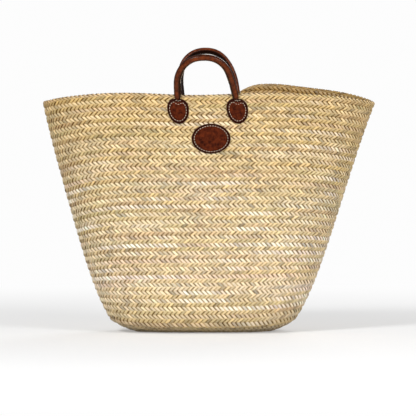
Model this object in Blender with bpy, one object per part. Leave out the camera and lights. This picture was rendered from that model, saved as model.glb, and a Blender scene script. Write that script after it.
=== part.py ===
"""Large market basket of plaited palm leaf with two rolled leather handles.

Metres, +Z up. X runs across the wide front, the front wall faces -Y, and the
origin is on the resting plane under the middle of the mouth.

The wall is one long flat plait, sewn edge to edge in a rising spiral. A place
on it is given by a course number and an angle: course 0 is the edge of the
base, negative courses fill the base, and the spiral climbs one course a turn,
counter-clockwise seen from above, from a seam line at the back.
"""
from math import cos, exp, pi, radians, sin

import bmesh
import bpy
from mathutils import Vector

# --- base ---------------------------------------------------------------
BASE_COURSES = 6
BASE_HALF_WIDTH = 0.166
BASE_HALF_DEPTH = 0.088
BASE_FLAT_COURSES = 2.0         # courses from the middle that rest flat
BASE_LIFT_END = 0.023           # the base edge curls up at its two ends
BASE_LIFT_SIDE = 0.012          # and a little at front and back
BASE_SHIFT = -0.0100            # the base sits left of the middle of the mouth
BASE_BACK = 0.020               # and behind it: the front wall leans out more than the back
CURL_POWER = 1.8                # how suddenly the base edge curls up
SLIT = 0.02                     # courses left open at the very start of the plait

# --- wall ---------------------------------------------------------------
WALL_COURSES = 30
RIM_COURSE = WALL_COURSES + 0.5  # the course number half way round the rim
END_FLARE = 0.292               # outward growth per metre of height at the ends
END_BELLY = 0.0175
BELLY_HEIGHT = 0.048
END_HEIGHT = 0.392              # from the base edge to the rim, at the two ends
END_DROOP = 0.013               # half way up, the courses hang lower at the ends
LEFT_DROOP = 0.25               # and more at the left end than at the right: share either way
FRONT_HEIGHT = 0.418
BACK_HEIGHT = 0.4245
DEPTH_GROWTH = 0.037            # half the mouth's depth less half the base's
SIDE_BELLY = 0.006
COURSE_TAPER = 0.065            # upper courses are sewn closer than lower ones
RIM_TILT = 0.004                # the rim's left end is bent up, its right end down
BACK_WAVE = 0.007               # the back rim lifts on the right and droops on the left
BACK_CREST = (0.115, 0.006, 0.055)  # crest of the back rim: place in X, height, width
FRONT_SAG = (-0.030, 0.006, 0.095)  # the front rim sags at the handle: same three values
PLAIT_THICKNESS = 0.004
GAP = 0.0003
SEAM_ANGLE = radians(77.5)
SECTION_STEPS = 28              # facets in one turn of the plait
END_TAPER = 0.022               # share of a turn over which the plait runs out
END_NARROWING = 0.9             # courses of width it loses there
COURSE_WIDTH = 0.0135
TURN_LENGTH = 1.2
LOW_CENTRING = 0.6              # share of the base's sideways shift lost evenly with height
RIM_CENTRING = 0.4              # and the share lost close to the rim
BASE_ROUNDNESS = 2.5            # superellipse exponents: base, then mouth
MOUTH_ROUNDNESS = 1.85

# --- leather ------------------------------------------------------------
TAB_WIDTH = 0.036
TAB_HEIGHT = 0.0435
TAB_DROP = 0.009                # rim to the tab's top
TAB_NOTCH = 0.0045              # dip in the tab's top where the roll enters
TAB_NOTCH_WIDTH = 0.007
LEATHER = 0.0026
LEATHER_OFFSET = 0.0006
STITCH_INSET = 0.80             # stitch line as a share of the outline
STITCH_RADIUS = 0.0005
PATCH_WIDTH = 0.0685
PATCH_HEIGHT = 0.0525
PATCH_CENTRE = (0.0045, 0.347)
PATCH_STITCH_INSET = 0.86
OUTLINE_STEPS = 28

# --- handles ------------------------------------------------------------
ROLL_RADIUS = 0.0050
ROLL_BORE = 0.0034
ROLL_FOOT = 0.0012              # the roll starts this far above the bottom of the tab's dip
CORE_RADIUS = 0.0029
ARCH_FOOT = 0.003               # straight length at each end of the loop
ARCH_HALF_SPAN = 0.0518
ARCH_ROUNDNESS = 2.3
ARCH_STEPS = 22
HINGE_LIFT = 0.0065             # hinge axis above the rim
HINGE_STANDOFF = 0.0078         # hinge axis in front of the wall's face
# each loop hangs over to its left: how far as shares of its half span (evenly, and more on its
# right side), and the share of its height at which it is there in full
HANDLES = {"front": {"side": -1, "centre": -0.0012, "lean": radians(35), "arch": 0.067,
                     "sway": (0.13, 0.06, 0.40)},
           "back": {"side": 1, "centre": 0.0032, "lean": radians(4), "arch": 0.073,
                    "sway": (0.165, 0.0, 0.75)}}

MATERIALS = {"straw": ((0.62, 0.48, 0.25), 0.62),
             "tab_leather": ((0.115, 0.030, 0.016), 0.45),
             "roll_leather": ((0.150, 0.046, 0.021), 0.40),
             "thread": ((0.62, 0.52, 0.42), 0.75),
             "rope": ((0.55, 0.44, 0.28), 0.85)}


def clear_scene():
    for obj in list(bpy.data.objects):
        bpy.data.objects.remove(obj)


def make_material(name):
    colour, roughness = MATERIALS[name]
    material = bpy.data.materials.new(name)
    material.use_nodes = True
    shader = material.node_tree.nodes["Principled BSDF"]
    shader.inputs["Base Color"].default_value = (*colour, 1.0)
    shader.inputs["Roughness"].default_value = roughness
    shader.inputs["Metallic"].default_value = 0.0
    return material


# --- the wall's outer surface ----------------------------------------------

def signed_power(value, power):
    return (1 if value >= 0 else -1) * abs(value) ** power


def outline(half_width, half_depth, roundness, angle):
    """Point of a superellipse at an angle."""
    power = 2.0 / roundness
    return half_width * signed_power(cos(angle), power), half_depth * signed_power(sin(angle), power)


def end_share(angle):
    """1 at the basket's two ends, 0 along most of its front and back."""
    return cos(angle) ** 4


def edge_lift(angle):
    return BASE_LIFT_SIDE + (BASE_LIFT_END - BASE_LIFT_SIDE) * end_share(angle)


def base_place(course, angle):
    grown = 1 + course / BASE_COURSES
    slit = BASE_HALF_WIDTH - BASE_HALF_DEPTH
    x, y = outline(slit + BASE_HALF_DEPTH * grown, BASE_HALF_DEPTH * grown, BASE_ROUNDNESS, angle)
    curl_courses = BASE_COURSES - BASE_FLAT_COURSES
    curl = max(0.0, 1 + course / curl_courses) ** CURL_POWER
    return Vector((x + BASE_SHIFT, y + BASE_BACK, edge_lift(angle) * curl))


def wall_place(course, angle):
    share = course / RIM_COURSE
    rise = share * (1 + COURSE_TAPER * (1 - share))
    side_height = FRONT_HEIGHT if sin(angle) < 0 else BACK_HEIGHT
    height = side_height + (END_HEIGHT - side_height) * end_share(angle)
    droop = END_DROOP * (1 - LEFT_DROOP * cos(angle)) * end_share(angle) * sin(pi * rise)
    end_rise = END_HEIGHT * rise - droop
    belly = 1 - exp(-end_rise / BELLY_HEIGHT)
    half_width = BASE_HALF_WIDTH + END_FLARE * end_rise + END_BELLY * belly
    half_depth = BASE_HALF_DEPTH + DEPTH_GROWTH * rise + SIDE_BELLY * belly
    roundness = BASE_ROUNDNESS + (MOUTH_ROUNDNESS - BASE_ROUNDNESS) * share
    x, y = outline(half_width, half_depth, roundness, angle)
    off_centre = 1 - LOW_CENTRING * share - RIM_CENTRING * share ** 8
    return Vector((x + BASE_SHIFT * off_centre,
                   y + BASE_BACK * (1 - rise),
                   edge_lift(angle) + height * rise - droop + rim_bend(x, angle) * share ** 3))


def rim_bend(x, angle):
    """How the rim's height departs from an even spiral."""
    tilt = -RIM_TILT * cos(angle)
    across = abs(sin(angle))
    if sin(angle) < 0:
        place, depth, width = FRONT_SAG
        return tilt - depth * across * exp(-((x - place) / width) ** 2)
    place, height, width = BACK_CREST
    return tilt + BACK_WAVE * sin(2 * angle) + height * across * exp(-((x - place) / width) ** 2)


def surface(course, angle):
    return base_place(course, angle) if course < 0 else wall_place(course, angle)


def outward(course, angle):
    """Unit normal of the outer surface."""
    rise, swing = 0.25, 0.02
    up = surface(course + rise, angle) - surface(course - rise, angle)
    round_ = surface(course, angle + swing) - surface(course, angle - swing)
    return round_.cross(up).normalized()


def on_wall(course, angle, offset, shift=0.0):
    """Place off the surface; neighbours shifted apart share one normal."""
    return surface(course + shift, angle) + outward(course, angle) * offset


def solve(function, target, low, high):
    """Bisection on a rising function."""
    for _ in range(40):
        middle = (low + high) / 2
        if function(middle) < target:
            low = middle
        else:
            high = middle
    return (low + high) / 2


def wall_at(x, height, side, offset):
    """Outer surface at a world x and height on the front (-1) or back (1) wall."""
    course = RIM_COURSE * 0.9
    for _ in range(3):
        if side < 0:
            angle = solve(lambda a: wall_place(course, a).x, x, pi, 2 * pi)
        else:
            angle = -solve(lambda a: wall_place(course, -a).x, x, -pi, 0)
        course = solve(lambda c: wall_place(c, angle).z, height, 0, RIM_COURSE + 1)
    return on_wall(course, angle, offset)


# --- mesh helpers ------------------------------------------------------------

def add_mesh(name, vertices, faces, material, parent=None, smooth=False):
    mesh = bpy.data.meshes.new(name)
    mesh.from_pydata([tuple(v) for v in vertices], [], faces)
    shell = bmesh.new()
    shell.from_mesh(mesh)
    bmesh.ops.recalc_face_normals(shell, faces=shell.faces)
    shell.to_mesh(mesh)
    shell.free()
    mesh.materials.append(material)
    if smooth:
        mesh.shade_smooth()
        mesh.set_sharp_from_angle(angle=radians(40))
    obj = bpy.data.objects.new(name, mesh)
    bpy.context.scene.collection.objects.link(obj)
    obj.parent = parent
    return obj


def sweep(name, rings, material, closed=False, parent=None, smooth=False):
    """Skin a list of equal rings; an open sweep gets end caps."""
    size = len(rings[0])
    vertices = [v for ring in rings for v in ring]
    faces = []
    for i in range(len(rings) if closed else len(rings) - 1):
        here, there = i * size, (i + 1) % len(rings) * size
        for j in range(size):
            k = (j + 1) % size
            faces.append((here + j, here + k, there + k, there + j))
    if not closed:
        faces.append(tuple(reversed(range(size))))
        faces.append(tuple(range(len(vertices) - size, len(vertices))))
    return add_mesh(name, vertices, faces, material, parent, smooth)


def circle_ring(centre, first, second, radius, sides, phase=0.0):
    turns = [2 * pi * (i + phase) / sides for i in range(sides)]
    return [centre + first * radius * cos(a) + second * radius * sin(a) for a in turns]


# --- plait ---------------------------------------------------------------

def course_edges(index, turn):
    """Lower and upper edge of a course at a share of its turn."""
    low = index + turn
    high = index + 1 + turn
    if index == -BASE_COURSES:
        low = -BASE_COURSES + SLIT
    if index == WALL_COURSES - 1 and turn > 1 - END_TAPER:
        high -= END_NARROWING * (turn - 1 + END_TAPER) / END_TAPER
    return low, high


def course_turns(index):
    """Shares of the turn at which a course has its sections."""
    end_gap = GAP / TURN_LENGTH
    turns = [end_gap] + [i / SECTION_STEPS for i in range(1, SECTION_STEPS)] + [1 - end_gap]
    if index == WALL_COURSES - 1:
        turns.insert(-1, 1 - END_TAPER)
    return turns


def add_course(index, material):
    """One turn of the plait, from seam to seam."""
    edge_gap = GAP / 2 / COURSE_WIDTH
    rings = []
    for turn in course_turns(index):
        angle = SEAM_ANGLE + 2 * pi * turn
        low, high = course_edges(index, turn)
        rings.append([on_wall(low, angle, 0, edge_gap),
                      on_wall(high, angle, 0, -edge_gap),
                      on_wall(high, angle, -PLAIT_THICKNESS, -edge_gap),
                      on_wall(low, angle, -PLAIT_THICKNESS, edge_gap)])
    if index < 0:
        name = f"base_course_{index + BASE_COURSES + 1}"
    else:
        name = f"wall_course_{index + 1:02d}"
    sweep(name, rings, material)


# --- leather -------------------------------------------------------------

def tab_outline(scale, steps):
    """Shield, widest above its middle, with a dip in its top."""
    points = []
    for i in range(steps):
        a = 2 * pi * i / steps
        x = TAB_WIDTH / 2 * cos(a) * (1 + 0.17 * sin(a))
        y = TAB_HEIGHT / 2 * signed_power(sin(a), 0.9)
        if y > 0:
            y -= TAB_NOTCH * exp(-(x / TAB_NOTCH_WIDTH) ** 2)
        points.append((x * scale, y * scale))
    return points


def patch_outline(scale, steps):
    turns = [2 * pi * i / steps for i in range(steps)]
    return [(PATCH_WIDTH / 2 * scale * cos(a), PATCH_HEIGHT / 2 * scale * sin(a)) for a in turns]


def add_plate(name, points, centre, side, material):
    """Flat leather piece bent to the wall."""
    count = len(points)
    vertices = []
    for offset in (LEATHER_OFFSET, LEATHER_OFFSET + LEATHER):
        vertices += [wall_at(centre[0] - side * x, centre[1] + y, side, offset) for x, y in points]
        vertices.append(wall_at(centre[0], centre[1], side, offset))
    faces = []
    for i in range(count):
        j = (i + 1) % count
        top = count + 1
        faces.append((i, j, j + top, i + top))
        faces.append((j, i, count))
        faces.append((i + top, j + top, count + top))
    return add_mesh(name, vertices, faces, material)


def add_stitch_loop(name, points, centre, side, material):
    """Closed thread on a leather piece's face."""
    lift = LEATHER_OFFSET + LEATHER + GAP + STITCH_RADIUS
    path = [wall_at(centre[0] - side * x, centre[1] + y, side, lift) for x, y in points]
    face = wall_at(centre[0], centre[1], side, 1.0) - wall_at(centre[0], centre[1], side, 0.0)
    rings = []
    for i, here in enumerate(path):
        along = (path[(i + 1) % len(path)] - path[i - 1]).normalized()
        rings.append(circle_ring(here, face.cross(along).normalized(), face, STITCH_RADIUS, 3))
    sweep(name, rings, material, closed=True)


# --- handles -------------------------------------------------------------

def hinge_point(side, x):
    """Hinge axis at a handle, above and in front of the rim."""
    course = WALL_COURSES + (0.5 if side < 0 else 0.1)
    if side < 0:
        angle = solve(lambda a: wall_place(course, a).x, x, pi, 2 * pi)
    else:
        angle = -solve(lambda a: wall_place(course, -a).x, x, -pi, 0)
    rim = surface(course, angle)
    return Vector((x, rim.y + side * HINGE_STANDOFF, rim.z + HINGE_LIFT))


def arch_frame(height, sway, turn):
    """Centre line, tangent and inward direction of the arch, in its hinge's frame."""
    even, right, full = sway

    def place(angle):
        x, z = outline(ARCH_HALF_SPAN, height, ARCH_ROUNDNESS, angle)
        share = min(1.0, max(0.0, z / height / full))
        swung = share * share * (3 - 2 * share)
        return Vector((x - swung * (even * ARCH_HALF_SPAN + right * x), 0, z))

    angle = pi * (1 - turn)
    step = 0.01
    tangent = (place(max(0, angle - step)) - place(min(pi, angle + step))).normalized()
    if turn in (0, 1):
        tangent = Vector((0, 0, 1 if turn == 0 else -1))
    return place(angle), tangent, tangent.cross(Vector((0, 1, 0)))


def add_handle(name, spec, materials):
    """Rolled leather sleeve, rope core and seam thread on one hinge."""
    side = spec["side"]
    legs = [hinge_point(side, spec["centre"] + end * ARCH_HALF_SPAN) for end in (-1, 1)]
    hinge = bpy.data.objects.new(f"{name}_handle_hinge", None)
    bpy.context.scene.collection.objects.link(hinge)
    hinge.location = (legs[0] + legs[1]) / 2
    hinge.rotation_euler.x = -side * spec["lean"]
    deep = Vector((0, 1, 0))
    frames = [arch_frame(spec["arch"], spec["sway"], i / ARCH_STEPS) for i in range(ARCH_STEPS + 1)]
    for spot, end in ((1, frames[0]), (-1, frames[-1])):
        frames.insert(spot, (end[0] + Vector((0, 0, ARCH_FOOT)), *end[1:]))
    outer = [circle_ring(p, inner, deep, ROLL_RADIUS, 10) for p, _, inner in frames]
    bore = [circle_ring(p, inner, deep, ROLL_BORE, 10) for p, _, inner in frames]
    sweep(f"{name}_handle_sleeve", outer + bore[::-1], materials["roll_leather"], True, hinge, True)
    add_core(name, frames, hinge, materials["rope"])
    lift = ROLL_RADIUS + GAP + STITCH_RADIUS
    seam = [circle_ring(p + inner * lift, inner, deep, STITCH_RADIUS, 3) for p, _, inner in frames[1:-1]]
    sweep(f"{name}_handle_seam_thread", seam, materials["thread"], parent=hinge)
    for label, leg in zip(("left", "right"), legs):
        leg = Vector((leg.x, hinge.location.y, hinge.location.z))
        add_tab(f"{name}_{label}", leg, spec, materials)


def add_core(name, frames, hinge, material):
    curve = bpy.data.curves.new(f"{name}_handle_rope_core", "CURVE")
    curve.dimensions = "3D"
    curve.bevel_depth = CORE_RADIUS
    curve.bevel_resolution = 1
    curve.use_fill_caps = True
    spline = curve.splines.new("POLY")
    spline.points.add(len(frames) - 1)
    for point, (place, _, _) in zip(spline.points, frames):
        point.co = (*place, 1)
    curve.materials.append(material)
    core = bpy.data.objects.new(f"{name}_handle_rope_core", curve)
    bpy.context.scene.collection.objects.link(core)
    core.parent = hinge


def add_tab(name, leg, spec, materials):
    """Shield sewn to the wall under a leg, and the bending end of the roll."""
    side, lean = spec["side"], spec["lean"]
    rim_height = leg.z - HINGE_LIFT
    centre = (leg.x, rim_height - TAB_DROP - TAB_HEIGHT / 2)
    add_plate(f"{name}_tab", tab_outline(1, OUTLINE_STEPS), centre, side, materials["tab_leather"])
    add_stitch_loop(f"{name}_tab_stitching", tab_outline(STITCH_INSET, OUTLINE_STEPS), centre, side,
                    materials["thread"])
    add_roll_end(f"{name}_roll_end", leg, rim_height, side, lean, materials["roll_leather"])


def add_roll_end(name, leg, rim_height, side, lean, material):
    """The sleeve's soft end, from the dip in the tab's top to the hinge axis."""
    foot_height = rim_height - TAB_DROP - TAB_NOTCH + ROLL_FOOT
    foot = wall_at(leg.x, foot_height, side, ROLL_RADIUS + LEATHER_OFFSET)
    above = wall_at(leg.x, foot_height + 0.006, side, ROLL_RADIUS + LEATHER_OFFSET)
    start = (above - foot).normalized()
    finish = Vector((0, side * sin(lean), cos(lean)))
    head = leg - finish * GAP
    reach = (head - foot).length / 3
    handles = [foot, foot + start * reach, head - finish * reach, head]
    rings = []
    for i in range(7):
        t = i / 6
        weights = ((1 - t) ** 3, 3 * t * (1 - t) ** 2, 3 * t * t * (1 - t), t ** 3)
        place = sum((h * w for h, w in zip(handles, weights)), Vector())
        tangent = (start * (1 - t) + finish * t).normalized()
        across = Vector((1, 0, 0))
        rings.append(circle_ring(place, across, tangent.cross(across), ROLL_RADIUS, 10))
    sweep(name, rings, material, smooth=True)


def build():
    clear_scene()
    materials = {name: make_material(name) for name in MATERIALS}
    for index in range(-BASE_COURSES, WALL_COURSES):
        add_course(index, materials["straw"])
    add_plate("oval_patch", patch_outline(1, OUTLINE_STEPS), PATCH_CENTRE, -1, materials["tab_leather"])
    stitch_line = patch_outline(PATCH_STITCH_INSET, OUTLINE_STEPS)
    add_stitch_loop("oval_patch_stitching", stitch_line, PATCH_CENTRE, -1, materials["thread"])
    for name, spec in HANDLES.items():
        add_handle(name, spec, materials)


build()
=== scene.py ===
"""Woven market basket: plaited palm-leaf courses, leather tabs and patch, rolled leather handles."""
from math import cos, exp, pi, radians, sin, sqrt

import bpy
import numpy as np
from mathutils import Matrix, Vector


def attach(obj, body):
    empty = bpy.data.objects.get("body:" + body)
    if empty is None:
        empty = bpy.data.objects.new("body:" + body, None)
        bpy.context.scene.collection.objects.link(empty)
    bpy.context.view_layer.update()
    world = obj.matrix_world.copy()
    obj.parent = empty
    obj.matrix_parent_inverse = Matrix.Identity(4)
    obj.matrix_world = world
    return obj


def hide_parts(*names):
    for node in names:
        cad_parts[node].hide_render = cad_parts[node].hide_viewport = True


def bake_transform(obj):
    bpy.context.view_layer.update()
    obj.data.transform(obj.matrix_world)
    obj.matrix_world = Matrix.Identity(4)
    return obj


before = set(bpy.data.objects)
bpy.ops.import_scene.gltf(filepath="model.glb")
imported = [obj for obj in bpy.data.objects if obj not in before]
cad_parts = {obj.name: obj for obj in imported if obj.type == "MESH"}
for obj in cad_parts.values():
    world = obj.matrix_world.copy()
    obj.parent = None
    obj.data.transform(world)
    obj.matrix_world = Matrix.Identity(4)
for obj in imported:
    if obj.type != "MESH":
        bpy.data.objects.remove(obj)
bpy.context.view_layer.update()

# --- dimensions, in metres --------------------------------------------------
BASE_COURSES = 6
BASE_HALF_WIDTH = 0.166
BASE_HALF_DEPTH = 0.088
BASE_FLAT_COURSES = 2.0
BASE_LIFT_END = 0.023
BASE_LIFT_SIDE = 0.012
BASE_SHIFT = -0.0100
BASE_BACK = 0.020
BASE_ROUNDNESS = 2.5
WALL_COURSES = 30
RIM_COURSE = 30.5
END_FLARE = 0.292
END_BELLY = 0.0175
BELLY_HEIGHT = 0.048
END_HEIGHT = 0.392
END_DROOP = 0.013
LEFT_DROOP = 0.25
FRONT_HEIGHT = 0.418
BACK_HEIGHT = 0.4245
DEPTH_GROWTH = 0.037
SIDE_BELLY = 0.006
COURSE_TAPER = 0.065
SHIFT_LOSS = 0.6
RIM_SHIFT_LOSS = 0.4
RIM_TILT = 0.004
BACK_WAVE = 0.007
# where along the rim, how far up or down, how wide
BACK_CREST = (0.115, 0.006, 0.055)
FRONT_SAG = (-0.030, 0.006, 0.095)
MOUTH_ROUNDNESS = 1.85
SEAM_ANGLE = radians(77.5)
END_TAPER = 0.022

FLOOR_CLEARANCE = 0.0001

LOW_PITCH = 0.0081
HIGH_PITCH = 0.0089
STRAND_LEAN = 1.6
STRAND_SWELL = 0.0013
COURSE_BULGE = 0.0007
END_BULGE = 0.0008
HALF_THICKNESS = 0.0008
MIDDLE_DEPTH = 0.0020
TOOTH = 0.065
EDGE_TOOTH = 0.055
EDGE_REACH = 0.030
RIM_TOOTH = 0.085
RIM_DROP = 0.19
HEIGHT_SPREAD = 0.16
TILTS = (0.95, 0.85)
TILT_SPREAD = 0.40
STRAY = 0.05
# GAPS to PIT_SHARE: how dark the painted shade in the gap beside each strand is, and the share of gaps
# painted nearly black as shade through the plait
GAPS = (0.88, 0.86)
GAP_SPREAD = 0.20
LEAST_GAP = 0.3
PIT_SHARE = 0.13
TONE_SPREAD = 0.13
ODD_SHARE = 0.09
COURSE_SEED = 4000

TAB_WIDTH = 0.0372
TAB_HEIGHT = 0.0450
TAB_RISE = 0.0012
TAB_DROP = 0.009
TAB_NOTCH = 0.0012
HOLE_DROP = 0.0048
HOLE_SIZE = 0.0027
LOOP_DIP = 0.0048
LOOP_DIP_HALF_WIDTH = 0.0078
TAB_SKEW = 0.09
TAB_NOTCH_WIDTH = 0.007
LEATHER = 0.0026
LEATHER_OFFSET = 0.0006
LEATHER_SINK = 0.0012
HOLE_DEPTH = 0.0011
PLATE_STEPS = 120
STITCH_INSET = 0.77
PATCH_INSET = 0.86
PATCH_WIDTH = 0.0685
PATCH_HEIGHT = 0.0525
PATCH_CENTRE = (0.0045, 0.347)
STITCH_LENGTH = 0.0026
STITCH_GAP = 0.0020
STITCH_RADIUS = 0.00046
STITCH_SEAT = 0.78
TIP_STITCH = np.array([0.0011, 0.0003, -0.0005, -0.0013])
TOP_STITCH = np.linspace(0.0012, 0.0056, 5)
TOP_STITCH_DROP = 0.0030
TOP_STITCH_SLOPE = 0.30

ROLL_RADIUS = 0.0056
ROLL_BORE = 0.0034
ROLL_STEP = 0.0010
ROLL_SIDES = 28
ROLL_SEED = 70
ROLL_TAPER = 0.15
ROLL_TAPER_LENGTH = 0.007
FOOT_RISE = 0.0024
FOOT_DEPTH = 0.0026
SEAM_RIDGE = 0.16
NOTCH_PLACE = 0.42
CREASES = ((0.012, 0.0071), (0.012, 0.0113), (0.015, 0.031))
CORE_CLEARANCE = 0.013
SEAM_PITCH = 4
ROPE_STRANDS = 3
ROPE_LAY = 0.014
ROPE_STRAND_PLACE = 0.00145
ROPE_STRAND_RADIUS = 0.0014
ARCH_HALF_SPAN = 0.0518
ARCH_ROUNDNESS = 2.3
HINGE_LIFT = 0.0065
HINGE_STANDOFF = 0.0078
FRONT_RIM_AT = 0.5
BACK_RIM_AT = 0.1
LOOP_MIDDLE = 0.35
ROLL_TRIM = 0.985
SEAM_STANDOFF = 1.13
# "sway": how far the arch leans to the left, how much more it does to the right, the share of its height
# where that is full, and how far below the bending line it starts.
# "dark": where the painted shade on the inner side begins round the roll, over how much of it, and how dark
# it is.
HANDLES = {
    "front": {"side": -1, "centre": -0.0012, "lean": radians(35), "arch": 0.067,
              "sway": (0.13, 0.06, 0.40, 0.026), "dark": (0.10, 0.60, 0.92)},
    "back": {"side": 1, "centre": 0.0032, "lean": radians(4), "arch": 0.073,
             "sway": (0.165, 0.0, 0.75, 0.020), "dark": (-0.35, 0.40, 0.97)},
}

KEY_POWER = 111
FILL_POWER = 76
BACK_POWER = 34
SEEN_LIGHT = 0.98
CAST_LIGHT = 0.36
FLOOR_HALF_SIZE = 40.0
CAMERA_LENS = 240.4
CAMERA_DISTANCE = 5.0
CAMERA_RISE = radians(1.0)
CAMERA_TARGET = Vector((-0.0009, 0.0, 0.2229))


# --- the basket's outer surface, for arrays of courses and angles ------------

def signed_power(value, power):
    return np.sign(value) * np.abs(value) ** power


def outline(half_width, half_depth, roundness, angle):
    """Superellipse: roundness 2 is an ellipse, more is boxier, less is pointed at the ends."""
    power = 2.0 / roundness
    return (half_width * signed_power(np.cos(angle), power),
            half_depth * signed_power(np.sin(angle), power))


def end_share(angle):
    """1 at the basket's two ends, falling to 0 at the middles of its front and back."""
    return np.cos(angle) ** 4


def edge_lift(angle):
    return BASE_LIFT_SIDE + (BASE_LIFT_END - BASE_LIFT_SIDE) * end_share(angle)


def base_place(course, angle):
    """Base courses run from -BASE_COURSES in the middle to 0 at the edge, which curls up."""
    grown = 1 + course / BASE_COURSES
    slit = BASE_HALF_WIDTH - BASE_HALF_DEPTH
    x, y = outline(slit + BASE_HALF_DEPTH * grown, BASE_HALF_DEPTH * grown, BASE_ROUNDNESS, angle)
    curl = np.maximum(0.0, 1 + course / (BASE_COURSES - BASE_FLAT_COURSES)) ** 1.8
    return np.stack([x + BASE_SHIFT, y + BASE_BACK, edge_lift(angle) * curl], -1)


def rim_bend(x, angle):
    """How far the rim is above or below its even height: sag in front, wave and crest at the back."""
    across = np.abs(np.sin(angle))
    sag_place, sag_depth, sag_width = FRONT_SAG
    crest_place, crest_height, crest_width = BACK_CREST
    front = -sag_depth * across * np.exp(-((x - sag_place) / sag_width) ** 2)
    crest = crest_height * across * np.exp(-((x - crest_place) / crest_width) ** 2)
    back = BACK_WAVE * np.sin(2 * angle) + crest
    return -RIM_TILT * np.cos(angle) + np.where(np.sin(angle) < 0, front, back)


def wall_place(course, angle):
    """Wall courses run from 0 at the base to RIM_COURSE."""
    share = course / RIM_COURSE
    rise = share * (1 + COURSE_TAPER * (1 - share))
    side_height = np.where(np.sin(angle) < 0, FRONT_HEIGHT, BACK_HEIGHT)
    height = side_height + (END_HEIGHT - side_height) * end_share(angle)
    droop = END_DROOP * (1 - LEFT_DROOP * np.cos(angle)) * end_share(angle) * np.sin(pi * rise)
    end_rise = END_HEIGHT * rise - droop
    belly = 1 - np.exp(-end_rise / BELLY_HEIGHT)
    half_width = BASE_HALF_WIDTH + END_FLARE * end_rise + END_BELLY * belly
    half_depth = BASE_HALF_DEPTH + DEPTH_GROWTH * rise + SIDE_BELLY * belly
    roundness = BASE_ROUNDNESS + (MOUTH_ROUNDNESS - BASE_ROUNDNESS) * share
    x, y = outline(half_width, half_depth, roundness, angle)
    return np.stack([x + BASE_SHIFT * (1 - SHIFT_LOSS * share - RIM_SHIFT_LOSS * share ** 8),
                     y + BASE_BACK * (1 - rise),
                     edge_lift(angle) + height * rise - droop + rim_bend(x, angle) * share ** 3], -1)


def surface(course, angle):
    course, angle = np.broadcast_arrays(np.asarray(course, float), np.asarray(angle, float))
    base = base_place(np.minimum(course, 0), angle)
    wall = wall_place(np.maximum(course, 0), angle)
    return np.where((course < 0)[..., None], base, wall)


def unit(vectors):
    return vectors / np.maximum(np.linalg.norm(vectors, axis=-1, keepdims=True), 1e-12)


def outward(course, angle):
    up = surface(course + 0.25, angle) - surface(course - 0.25, angle)
    along = surface(course, angle + 0.02) - surface(course, angle - 0.02)
    return unit(np.cross(along, up))


def wall_at(x, height, side, offset):
    """Places at world x and height on the front (-1) or back (1) wall, offset outward."""
    x, height, offset = np.broadcast_arrays(*(np.asarray(v, float) for v in (x, height, offset)))
    course = np.full(x.shape, RIM_COURSE * 0.9)
    for _ in range(3):
        low = np.full(x.shape, pi if side < 0 else 0.0)
        high = low + pi
        for _ in range(30):
            middle = (low + high) / 2
            past = wall_place(course, middle)[..., 0] * -side < x * -side
            low = np.where(past, middle, low)
            high = np.where(past, high, middle)
        angle = (low + high) / 2
        low = np.zeros(x.shape)
        high = low + RIM_COURSE + 1
        for _ in range(30):
            middle = (low + high) / 2
            past = wall_place(middle, angle)[..., 2] < height
            low = np.where(past, middle, low)
            high = np.where(past, high, middle)
        course = (low + high) / 2
    return surface(course, angle) + outward(course, angle) * offset[..., None]


# --- mesh helpers ------------------------------------------------------------

def new_object(name, vertices, faces, material, smooth=True):
    """Mesh object from vertex and quad arrays, all faces smooth or all flat."""
    vertices = np.asarray(vertices, np.float32).reshape(-1, 3)
    faces = np.asarray(faces, np.int32).reshape(-1, 4)
    mesh = bpy.data.meshes.new(name)
    mesh.vertices.add(len(vertices))
    mesh.vertices.foreach_set("co", vertices.ravel())
    mesh.loops.add(faces.size)
    mesh.loops.foreach_set("vertex_index", faces.ravel())
    mesh.polygons.add(len(faces))
    mesh.polygons.foreach_set("loop_start", np.arange(0, faces.size, 4, dtype=np.int32))
    mesh.polygons.foreach_set("use_smooth", np.full(len(faces), smooth))
    mesh.update(calc_edges=True)
    mesh.validate()
    mesh.materials.append(material)
    obj = bpy.data.objects.new(name, mesh)
    bpy.context.scene.collection.objects.link(obj)
    return obj


def set_values(obj, name, kind, domain, values):
    layer = obj.data.attributes.new(name, kind, domain)
    key = {"FLOAT": "value", "FLOAT_VECTOR": "vector", "FLOAT_COLOR": "color"}[kind]
    layer.data.foreach_set(key, np.asarray(values, np.float32).ravel())


def grid_faces(rows, columns, start=0, flip=False, wrap=False):
    """Quads of a rows x columns grid of vertices; wrap closes it along the columns."""
    r = np.arange(rows - 1)[:, None]
    c = np.arange(columns if wrap else columns - 1)[None, :]
    d = (c + 1) % columns
    quads = np.stack([r * columns + c, r * columns + d, (r + 1) * columns + d, (r + 1) * columns + c], -1)
    quads = quads.reshape(-1, 4) + start
    return quads[:, ::-1] if flip else quads


def ring_points(line, first, second, radius, turn):
    """Rings of points round a line; radius holds a value for each ring, or for each point."""
    return (line[:, None] + first[:, None] * (radius * np.cos(turn))[..., None]
            + second[:, None] * (radius * np.sin(turn))[..., None])


def thread_faces(rows, sides, start):
    """Faces of a run of rings that is closed at both ends."""
    faces = [grid_faces(rows, sides, start, wrap=True)]
    for base, is_first in ((start, True), (start + (rows - 1) * sides, False)):
        around = base + np.arange(sides)
        for i in range(sides // 2 - 1):
            quad = np.array([around[i], around[i + 1], around[sides - 2 - i], around[sides - 1 - i]])
            faces.append(quad[::-1][None] if is_first else quad[None])
    return faces


# --- materials ---------------------------------------------------------------

def connect(tree, value, socket):
    if isinstance(value, bpy.types.NodeSocket):
        tree.links.new(value, socket)
    else:
        socket.default_value = value


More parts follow.
